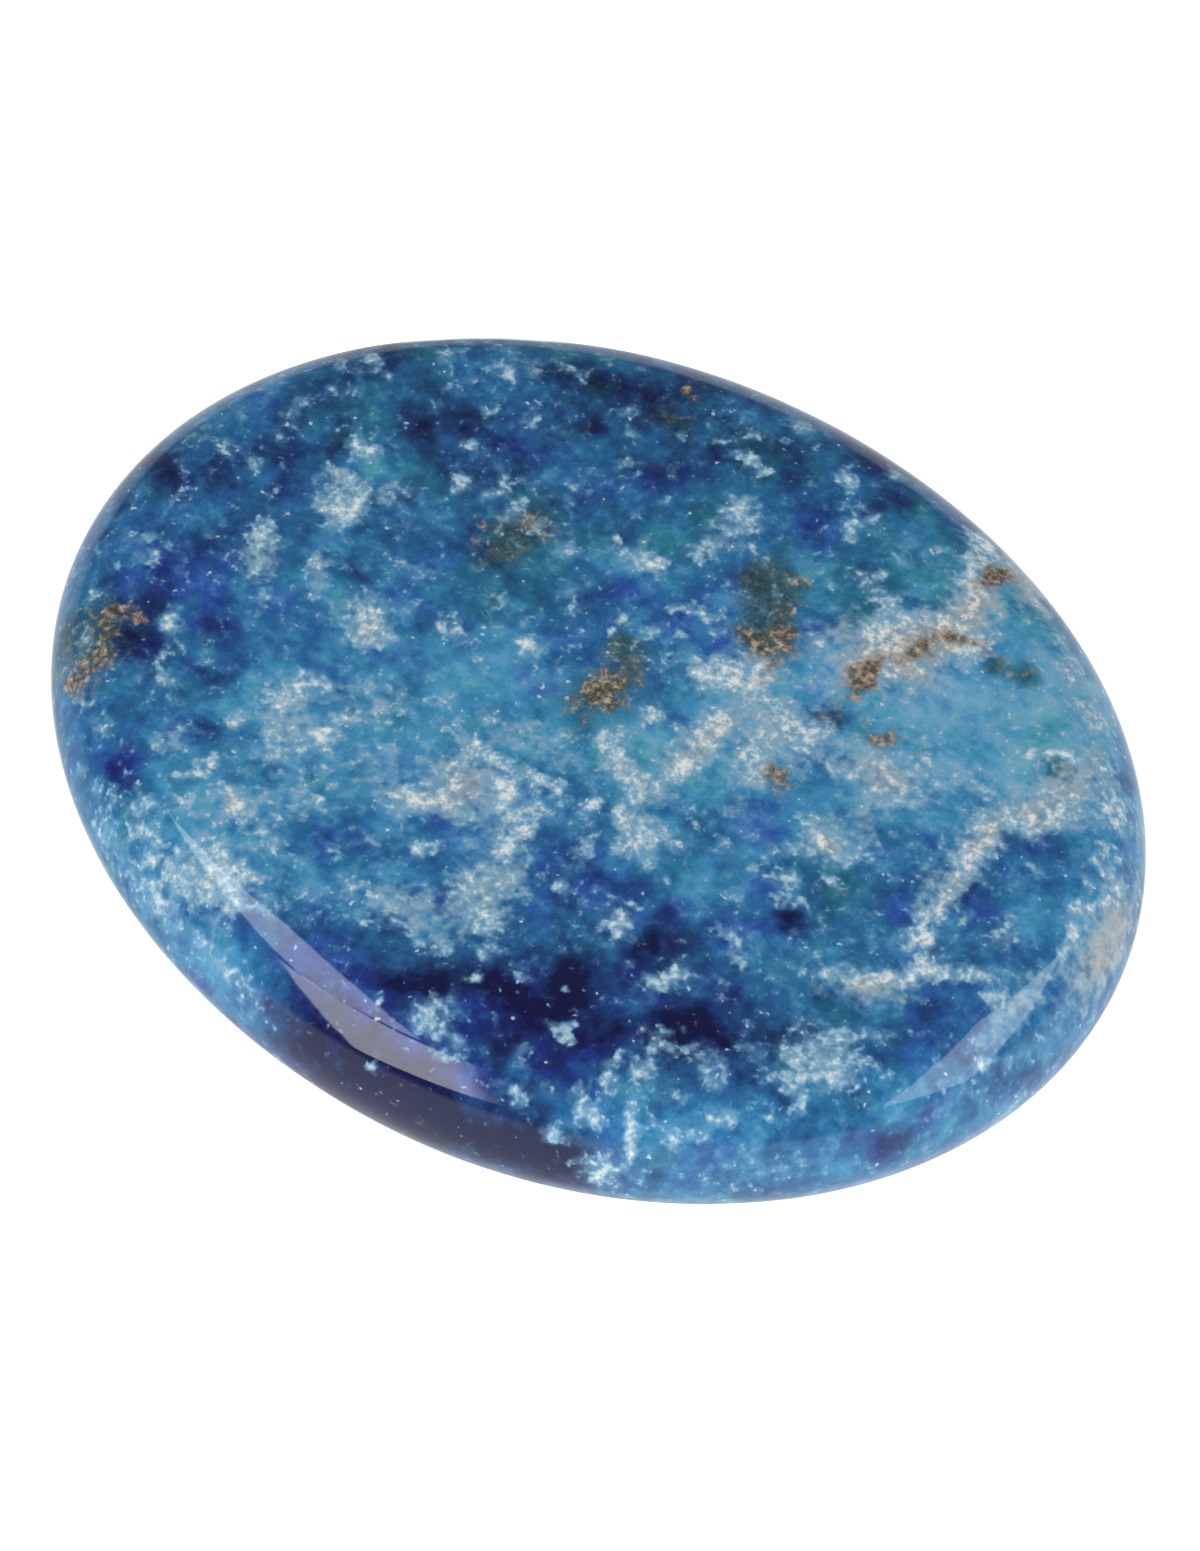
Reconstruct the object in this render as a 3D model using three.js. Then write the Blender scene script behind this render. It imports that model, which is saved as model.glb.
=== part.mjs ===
// A flat polished palm stone of lapis lazuli: an oval pebble with a slightly crowned top,
// a round edge all the way about, and a flat back that it rests on.
// Millimetres, +Z up. The origin is the middle of the flat back, and +X is the long way.
import * as THREE from "three";

// Driving dimensions
const LENGTH = 50;
const WIDTH = 40.2;
const THICKNESS = 7.4;

// Edge, seen in a section from the rim inwards
const GIRTH_HEIGHT = 3.4; // height of the widest line above the back
const SHOULDER = 3.8; // how far in from the rim the top starts to round over
const HEEL = 4.6; // how far in from the rim the back starts to round up
const CROWN = 0.45; // how much higher the top is at its middle than the shoulder would leave it
const SHOULDER_RISE = THICKNESS - CROWN - GIRTH_HEIGHT;

// Hand shaping: small waves that take the outline and the edge away from a true oval.
// Each turns `waves` times round the rim, `size` either way, with a crest at `crest` degrees.
const OUTLINE_WAVES = [
  { waves: 3, size: 0.05, crest: 63 },
  { waves: 4, size: 0.045, crest: 34 },
];
const SHOULDER_WAVES = [
  { waves: 2, size: 0.25, crest: 70 },
  { waves: 3, size: 0.2, crest: 25 },
];
const GIRTH_WAVES = [
  { waves: 1, size: 0.15, crest: 200 },
  { waves: 2, size: 0.12, crest: 15 },
];

// Fineness
const SEGMENTS = 120;
const EDGE_STEPS = 9;
const TOP_STEPS = 7;
const BACK_STEPS = 2;

function waveSum(waves, angle) {
  return waves.reduce((sum, w) => {
    const crest = THREE.MathUtils.degToRad(w.crest);
    return sum + w.size * Math.cos(w.waves * (angle - crest));
  }, 0);
}

function rimRadius(angle) {
  const oval = 1 / Math.hypot(Math.cos(angle) / (LENGTH / 2), Math.sin(angle) / (WIDTH / 2));
  return oval + waveSum(OUTLINE_WAVES, angle);
}

// The section at one angle, from the middle of the back, round the rim, to the middle of the top,
// as [distance from the axis, height] pairs. Its two ends are on the axis.
function section(angle) {
  const rim = rimRadius(angle);
  const girth = GIRTH_HEIGHT + waveSum(GIRTH_WAVES, angle);
  const shoulder = SHOULDER + waveSum(SHOULDER_WAVES, angle);
  const rise = SHOULDER_RISE + GIRTH_HEIGHT - girth;
  const crownAt = (out) => CROWN * (1 - (out / rim) ** 2);
  const points = [[0, 0]];
  for (let i = 1; i < BACK_STEPS; i++) {
    points.push([((rim - HEEL) * i) / BACK_STEPS, 0]);
  }
  for (let i = 0; i < EDGE_STEPS; i++) {
    const turn = ((1 - i / EDGE_STEPS) * Math.PI) / 2;
    points.push([rim - HEEL * (1 - Math.cos(turn)), girth * (1 - Math.sin(turn))]);
  }
  for (let i = 0; i <= EDGE_STEPS; i++) {
    const turn = ((i / EDGE_STEPS) * Math.PI) / 2;
    const out = rim - shoulder * (1 - Math.cos(turn));
    points.push([out, girth + rise * Math.sin(turn) + crownAt(out)]);
  }
  for (let i = 1; i <= TOP_STEPS; i++) {
    const out = (rim - shoulder) * (1 - i / TOP_STEPS);
    points.push([out, girth + rise + crownAt(out)]);
  }
  return points;
}

// Joins the sections at all angles into one closed surface.
function stoneGeometry() {
  const sections = [];
  for (let s = 0; s < SEGMENTS; s++) {
    sections.push(section((s / SEGMENTS) * 2 * Math.PI));
  }
  const rings = sections[0].length - 2;
  const topPole = 1 + rings * SEGMENTS;
  const positions = [0, 0, 0];
  for (let r = 1; r <= rings; r++) {
    sections.forEach((points, s) => {
      const angle = (s / SEGMENTS) * 2 * Math.PI;
      const [out, height] = points[r];
      positions.push(out * Math.cos(angle), out * Math.sin(angle), height);
    });
  }
  positions.push(0, 0, THICKNESS);

  const at = (ring, s) => 1 + ring * SEGMENTS + (s % SEGMENTS);
  const faces = [];
  for (let s = 0; s < SEGMENTS; s++) {
    faces.push(0, at(0, s + 1), at(0, s));
    for (let r = 0; r < rings - 1; r++) {
      faces.push(at(r, s), at(r, s + 1), at(r + 1, s + 1));
      faces.push(at(r, s), at(r + 1, s + 1), at(r + 1, s));
    }
    faces.push(at(rings - 1, s), at(rings - 1, s + 1), topPole);
  }
  const geometry = new THREE.BufferGeometry();
  geometry.setAttribute("position", new THREE.Float32BufferAttribute(positions, 3));
  geometry.setIndex(faces);
  return centredOverBack(geometry);
}

// Shifts the stone level, so that the middle of its bounding box is over the origin.
function centredOverBack(geometry) {
  geometry.computeBoundingBox();
  const middle = geometry.boundingBox.getCenter(new THREE.Vector3());
  geometry.translate(-middle.x, -middle.y, 0);
  geometry.computeVertexNormals();
  return geometry;
}

const polishedLapis = new THREE.MeshStandardMaterial({
  color: new THREE.Color(0.1, 0.3, 0.52),
  roughness: 0.15,
  metalness: 0,
});

const stone = new THREE.Mesh(stoneGeometry(), polishedLapis);
stone.name = "lapis_stone";

const palmStone = new THREE.Group();
palmStone.add(stone);

export default palmStone;
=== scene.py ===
# The looks of a polished palm stone of lapis lazuli, made round its imported solid.
# The stone is one fine mesh on the same shape formula as the solid. Its colours come in two steps:
# marks placed in millimetres, and seeded clouds, are painted into attributes of the mesh,
# and the material then breaks them up into grains, crumbs and flecks with noise of its own.
import math

import bpy
import numpy as np
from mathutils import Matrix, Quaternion, Vector, noise


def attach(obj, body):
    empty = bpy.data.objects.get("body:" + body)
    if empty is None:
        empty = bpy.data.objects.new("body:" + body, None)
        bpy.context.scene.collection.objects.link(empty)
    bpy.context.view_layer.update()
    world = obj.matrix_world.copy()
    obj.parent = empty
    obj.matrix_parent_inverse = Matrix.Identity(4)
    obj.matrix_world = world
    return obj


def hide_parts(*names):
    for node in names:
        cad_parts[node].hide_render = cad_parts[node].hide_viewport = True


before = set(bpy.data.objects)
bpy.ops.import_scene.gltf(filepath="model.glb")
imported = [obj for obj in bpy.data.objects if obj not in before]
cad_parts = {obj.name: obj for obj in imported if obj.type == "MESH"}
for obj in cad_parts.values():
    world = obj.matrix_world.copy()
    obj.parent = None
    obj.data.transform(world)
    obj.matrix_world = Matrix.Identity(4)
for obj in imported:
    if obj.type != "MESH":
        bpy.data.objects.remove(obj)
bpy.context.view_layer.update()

MM = 0.001

# Shape, in millimetres and degrees, as in the solid
LENGTH = 50
WIDTH = 40.2
THICKNESS = 7.4
GIRTH_HEIGHT = 3.4
SHOULDER = 3.8
HEEL = 4.6
CROWN = 0.45
SHOULDER_HEIGHT = THICKNESS - CROWN
OUTLINE_WAVES = [(3, 0.05, 63), (4, 0.045, 34)]  # waves round the rim, size, crest
SHOULDER_WAVES = [(2, 0.25, 70), (3, 0.2, 25)]
GIRTH_WAVES = [(1, 0.15, 200), (2, 0.12, 15)]
HAND_POLISH = 0.014  # how far the polish dips, here and there
FLAT_BACK = 1e-6  # points lower than this lie on the flat back and stay there

# Fineness of the mesh
RIM_SEGMENTS = 720
BACK_SEGMENTS = 360
EDGE_RINGS = 26
TOP_RINGS = 88
BACK_RINGS = 40

# Camera, in metres and degrees, with its lens and sensor in millimetres
AIM = Vector((0.886, -0.701, 3.5)) * MM
CAMERA_TURN = 38.055
CAMERA_RISE = 54
CAMERA_DISTANCE = 0.32956
LENS = 180
SENSOR = 36
CLIP_START = 0.01

# Marks that were placed in plan, in millimetres and degrees:
# (x, y, half length, half width, turn) and then the amounts that each list names.

# Patches of blue: amount lighter or darker, amount towards teal or, if negative, towards royal blue
PATCHES = [
    # Broad fields
    (-13, 9, 9, 6, 20, -0.08, 0), (-5, 14.5, 8, 3, 0, -0.1, 0.15), (-20, -2, 4, 7, 0, -0.1, -0.05),
    (-4, -5, 8, 5, 0, 0.12, 0.12), (-9, -13.5, 7, 5, -15, 0.1, 0.08), (13, 9, 4.2, 3.6, 0, 0.27, 0.08),
    (17, 12.5, 5, 3, -35, 0.16, 0.1), (6.5, 2.5, 4, 4, 0, 0.12, 0.05),
    (8, -12.5, 6.5, 3.4, 30, -0.2, -0.35), (20, 4, 3, 4, 0, -0.03, -0.15),
    (20.5, -3.5, 2.4, 3.5, 0, -0.06, -0.25), (14.5, -2, 3, 2, 0, -0.02, 0.2), (16, -8, 3, 2.5, 0, 0, 0.2),
    (3, -7.3, 3.5, 1.5, 0, -0.06, -0.3), (14.3, -14.5, 2.5, 1.6, 20, 0.08, 0.15),
    (-15, 6, 4, 3, 0, -0.03, 0.2), (-16, -10.5, 3.6, 3.4, 0, -0.08, 0),
    (3.5, -6.5, 3.4, 1.8, 0, -0.09, -0.1), (17.5, -10, 2.6, 4, 0, -0.08, 0),
    (0.5, 18.4, 1.6, 0.8, 0, -0.15, 0), (22.5, 1, 2.4, 6.5, 0, 0.07, 0), (6.5, 3, 3.4, 5.5, 0, 0.05, 0.05),
    (-2.2, 7.5, 2.2, 3.4, 0, 0.05, 0.15), (13, 14, 3.6, 1.6, -30, 0.06, 0),
    (-18, -14, 2.6, 2.6, 0, -0.05, 0), (13.5, -10.5, 3, 2.2, 20, -0.06, -0.2),
    # Upper left
    (-15, 7, 1.1, 0.6, -25, -0.26, -0.3), (-13.5, 8.6, 1.6, 0.8, 20, -0.2, -0.3),
    (-9, 11.6, 0.8, 0.6, 0, -0.24, -0.3), (-9.6, 14.4, 1.4, 0.7, 20, -0.2, -0.1),
    (-11.5, 13.6, 1.6, 0.6, 25, -0.15, 0.2), (-7.3, 13.9, 1.5, 0.8, 0, -0.22, 0.4),
    (-12.3, 6.1, 0.9, 0.6, 0, -0.15, 0), (-19.3, 9.6, 0.9, 0.6, -30, -0.25, -0.2),
    (-18.5, 8.1, 0.8, 0.4, 0, -0.2, 0.2), (-17.7, 5, 0.9, 1.2, 0, -0.1, 0.3),
    (-16.8, 6.3, 1, 0.7, 0, 0.1, 0.5), (-15.4, 4.3, 1, 0.8, 0, 0.1, 0.55),
    (-10.5, 9.2, 1.8, 1, 15, -0.02, -0.55), (-12.2, 11, 1.5, 0.9, 0, 0.04, -0.1),
    (-22.3, 4.3, 1.2, 1.8, 0, 0.2, -0.4), (-21.3, 6.8, 1, 0.8, 30, 0.06, 0.4),
    (-17.4, 10.6, 1, 0.7, 0, 0.02, 0.6), (-12, 15, 1.6, 0.7, 25, 0.1, 0.45),
    (-9, 17, 1.6, 0.8, 10, 0.05, -0.4),
    # Upper middle
    (-5, 11.3, 1.4, 1.2, 0, -0.08, -0.75), (-7.2, 8.6, 1.1, 1, 0, -0.05, -0.7),
    (1.4, 13.3, 1.5, 1, 10, -0.06, -0.9), (-0.6, 14.4, 0.9, 0.6, 0, -0.04, -0.7),
    (-2.4, 9, 1.4, 1.1, 0, 0.06, 0.9), (-2.9, 11.2, 1.1, 0.9, 0, 0.02, 0.6),
    (-4.5, 8.2, 1.1, 0.7, 0, -0.2, 0.4), (-3.3, 15.2, 2.6, 0.9, 0, -0.16, 0.5),
    (-4, 13.9, 0.8, 0.4, 0, -0.25, 0), (0.8, 17.7, 1, 0.8, 0, -0.25, -0.1),
    (3.2, 16.6, 0.9, 0.8, 0, -0.2, -0.2), (6.2, 14.3, 2.8, 2.4, -20, 0, 0.65),
    (4.6, 16.8, 1.6, 1, -10, 0.02, 0.5), (6.2, 11.2, 1, 0.7, 0, 0.06, 0.7),
    (-3.9, 16.7, 1.2, 0.8, 0, 0.1, 0.1), (7.6, 14.5, 1.3, 1.8, 0, 0, 0.1),
    (8.7, 13.1, 0.6, 0.7, 0, -0.08, -0.6), (5, 8.8, 0.8, 0.5, 20, -0.05, -0.7),
    (-2.4, 5.6, 1.6, 0.7, 0, -0.02, -0.7), (1.4, 5.4, 1.4, 0.6, 0, -0.08, -0.5),
    (-4, 6.4, 1.2, 0.6, 0, 0.05, 0.4), (2, 11.8, 1.6, 0.7, 0, 0.04, 0.4), (1, 8.2, 1.2, 0.9, 0, 0.02, 0.1),
    (1.4, 9.2, 0.6, 0.8, 20, -0.22, 0.3),
    # Upper right
    (11.3, 15.2, 1.4, 1.1, 0, 0.12, 0.35), (11.7, 14.3, 0.8, 0.6, 0, 0.06, -0.15),
    (15.8, 14, 0.8, 0.7, 0, 0.1, -0.1), (13.5, 12.5, 0.6, 0.5, 0, -0.28, 0.5),
    (12.2, 12.2, 0.9, 0.3, -25, -0.15, 0.1), (16, 11.2, 0.6, 0.9, 0, -0.16, 0.5),
    (17.3, 9.3, 0.7, 0.5, 0, -0.3, 0.6), (19.6, 11.3, 1.2, 0.5, -50, -0.25, 0),
    (16.4, 8, 1, 1.2, 0, 0.05, 0.4), (10.8, 10.9, 0.8, 0.5, 0, -0.08, -0.1), (10, 8.3, 1, 0.8, 0, 0, -0.35),
    (8.3, 5.5, 0.9, 0.5, -20, -0.25, -0.1), (6.6, 6.9, 1.3, 1.2, 0, 0.14, -0.35),
    (19.2, 6, 0.9, 0.8, 0, -0.1, -0.5), (20.8, 7, 1.4, 1.2, 0, -0.02, -0.2),
    (21.6, 9, 0.6, 1, 25, -0.02, -0.6),
    # Left
    (-22.4, -1.2, 1.2, 0.7, -10, -0.28, -0.4), (-20.2, -0.4, 1, 0.6, 0, -0.15, 0),
    (-23, -3.6, 0.7, 0.9, 0, -0.2, -0.1), (-16.9, -5.4, 1.3, 1, -20, -0.08, -1),
    (-18.8, -5.6, 0.7, 1.4, 20, -0.1, -0.5), (-15.1, -6.4, 0.9, 0.5, 0, -0.2, -0.6),
    (-13.6, -3.8, 1.4, 0.8, 0, -0.06, -0.9), (-12.5, -5.5, 1.5, 1, 0, 0, -0.45),
    (-13.2, -8, 0.5, 1.1, 0, -0.26, -0.5), (-14.8, -8.9, 1, 0.4, 0, -0.2, -0.4),
    (-17.4, -9.6, 1.1, 0.6, 0, -0.3, -0.7), (-16.8, -8.8, 0.6, 0.5, 0, -0.25, -0.5),
    (-12.1, -11, 0.5, 0.6, 0, -0.3, -0.6), (-18.2, -7.2, 0.6, 0.9, 30, -0.25, -0.2),
    (-12.1, -1, 1.2, 0.6, 0, -0.18, 0), (-17, 3.9, 0.6, 0.8, 0, -0.12, 0.2),
    (-18.6, 2.2, 0.9, 0.8, 0, -0.1, 0.1), (-19.8, -7.2, 1.2, 1, 0, -0.02, -0.4),
    (-16.5, 0.4, 0.8, 0.5, 0, 0.02, -0.5), (-16.1, -7.3, 0.5, 0.4, 0, 0.02, -0.7),
    (-10, -0.6, 0.8, 0.5, 0, -0.04, -0.5), (-15.2, 0.2, 0.7, 0.4, 0, 0.08, 0.4),
    (-14.5, -11.4, 1.6, 1, 0, 0.06, 0.1), (-14.2, -9.9, 1.2, 0.4, 0, -0.08, 0.4),
    (-8, 0.9, 1.8, 0.9, 0, 0.02, 0.35), (-12.5, 3, 1.2, 1.5, 0, -0.05, -0.15),
    (-8, 3.5, 1.3, 2, 0, -0.16, 0.4),
    # Middle
    (-5.2, 2.8, 1.4, 1, 0, -0.12, 0.35), (-3.2, 4.2, 1.2, 0.8, 0, -0.1, -0.35),
    (-3.2, 1.9, 1.6, 0.7, 0, -0.1, -0.55), (-4, -0.5, 1.7, 0.9, -10, 0.08, -0.55),
    (-7, -2.6, 1.4, 0.8, 0, 0.06, -0.15), (-6, -5.6, 1.4, 0.6, 0, 0, -0.1),
    (-3.8, -7.6, 1.1, 0.8, 20, 0.02, -0.6), (-9.8, -5, 1.2, 1, 0, -0.02, -0.15),
    (3.3, -0.9, 0.9, 0.8, 0, 0.08, 0.6), (1, 2.6, 1, 1.4, 0, -0.08, -0.15),
    (2.3, -4, 1.6, 1, 0, -0.04, 0.15), (9.4, -0.9, 1, 0.9, 0, 0.02, -0.85),
    (9.2, 3, 0.9, 0.5, -10, -0.16, -0.4), (9, 0.2, 0.8, 0.4, 0, -0.1, -0.3),
    (4.1, 2.8, 0.9, 1.1, 0, 0.08, 0.1), (6, -2.5, 1, 0.5, 0, -0.1, 0), (7.3, -2.3, 0.5, 0.4, 0, -0.15, 0.2),
    (8.9, -4.6, 1.3, 0.9, 0, 0.06, 0.25), (6, -7.2, 2.4, 1.1, 0, -0.06, -0.6),
    (-0.6, -9.1, 1, 0.7, 0, -0.06, -0.5),
    # Right
    (13.1, -3.8, 0.75, 0.45, -10, -0.42, -0.4), (9.3, -8.4, 0.65, 1, -15, -0.46, -0.1),
    (9.2, -6.4, 0.6, 0.7, 30, -0.2, -0.5), (10.8, -7.6, 0.9, 0.5, 20, -0.2, -0.4),
    (13.7, -8.3, 0.6, 0.5, 0, -0.2, -0.5), (13.3, -10.2, 1.5, 0.6, 28, -0.42, -0.6),
    (15, -10.3, 0.5, 0.4, 0, -0.25, -0.3), (16.6, -10.9, 0.8, 0.4, 0, -0.2, -0.4),
    (19.2, 1.4, 1.1, 0.9, 0, -0.02, -0.75), (15.8, 3, 0.9, 0.6, 0, 0, -0.5),
    (16.4, -0.2, 0.7, 1.2, 15, -0.06, -0.7), (14.2, 1.4, 0.5, 0.9, 20, 0, -0.5),
    (13.9, -1.6, 1.7, 1.2, 0, -0.06, 0.25), (20.9, -4.2, 1.1, 1.5, 0, -0.08, -0.45),
    (22, 1.4, 0.7, 0.9, 0, -0.04, -0.2), (11.6, -5.4, 1.1, 0.5, 30, -0.14, -0.45),
    (18.2, -6.3, 0.8, 0.5, 0, 0.04, 0.5), (22.2, -8.7, 0.6, 0.9, -30, -0.25, -0.7),
    (22.7, -7.1, 0.4, 0.6, 0, -0.2, -0.6),
    # Front
    (2.6, -16.1, 1.4, 0.6, 30, -0.35, -0.5), (3.9, -14.9, 0.9, 0.5, 45, -0.3, -0.4),
    (5.8, -13.7, 1.1, 0.6, 10, -0.35, -0.8), (7.9, -11.6, 1.1, 1, 0, -0.45, -0.5),
    (8.6, -12.5, 0.5, 0.5, 0, -0.2, -0.3), (7.4, -14.4, 1.6, 1.1, 20, -0.22, -1),
    (7.8, -16, 0.5, 0.7, 20, -0.3, -0.3), (9.7, -15.7, 0.8, 0.5, 0, -0.25, -0.7),
    (6.2, -15.8, 0.8, 0.8, 0, -0.16, -1), (10.6, -14.3, 1, 1.1, 0, -0.18, -0.8),
    (10.9, -12.6, 1, 0.9, 0, -0.16, -0.4), (10.8, -11.2, 0.7, 0.6, 0, 0.04, 0.5),
    (-0.6, -16.2, 1.6, 0.7, 0, -0.1, -0.5), (-2.9, -15.7, 1.8, 0.8, 0, -0.08, -0.3),
    (-3.7, -11.7, 1.4, 1, 0, -0.06, -0.5), (-13.8, -14.5, 0.9, 0.6, -30, -0.25, -0.9),
    (-13.6, -12, 1.4, 1.4, 0, -0.02, -0.3),
    # Front edge, below the shoulder
    (-5.5, -17, 2.6, 0.8, -8, -0.1, -0.6), (-0.8, -17.9, 1.8, 0.9, -6, -0.18, -0.9),
    (2.6, -18.2, 2, 0.9, 4, -0.2, -1), (6.4, -17.9, 2.2, 0.8, 14, -0.2, -1),
    # The six darkest patches here, below the highlight, are partly the stone's own dark blue and partly
    # painted shade: the dark band that the rim mirrors there.
    (1.2, -19.5, 2.1, 1.2, -5, -0.38, -0.1), (5.5, -19.1, 2.8, 1.2, 8, -0.42, 0),
    (10.4, -18, 2.6, 1, 20, -0.42, -0.05), (1.6, -20.3, 2.5, 1.6, 0, -0.3, 0),
    (6.2, -19.9, 3.2, 1.6, 12, -0.35, 0), (11.6, -18.4, 2.6, 1.5, 25, -0.3, 0),
]

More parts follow.
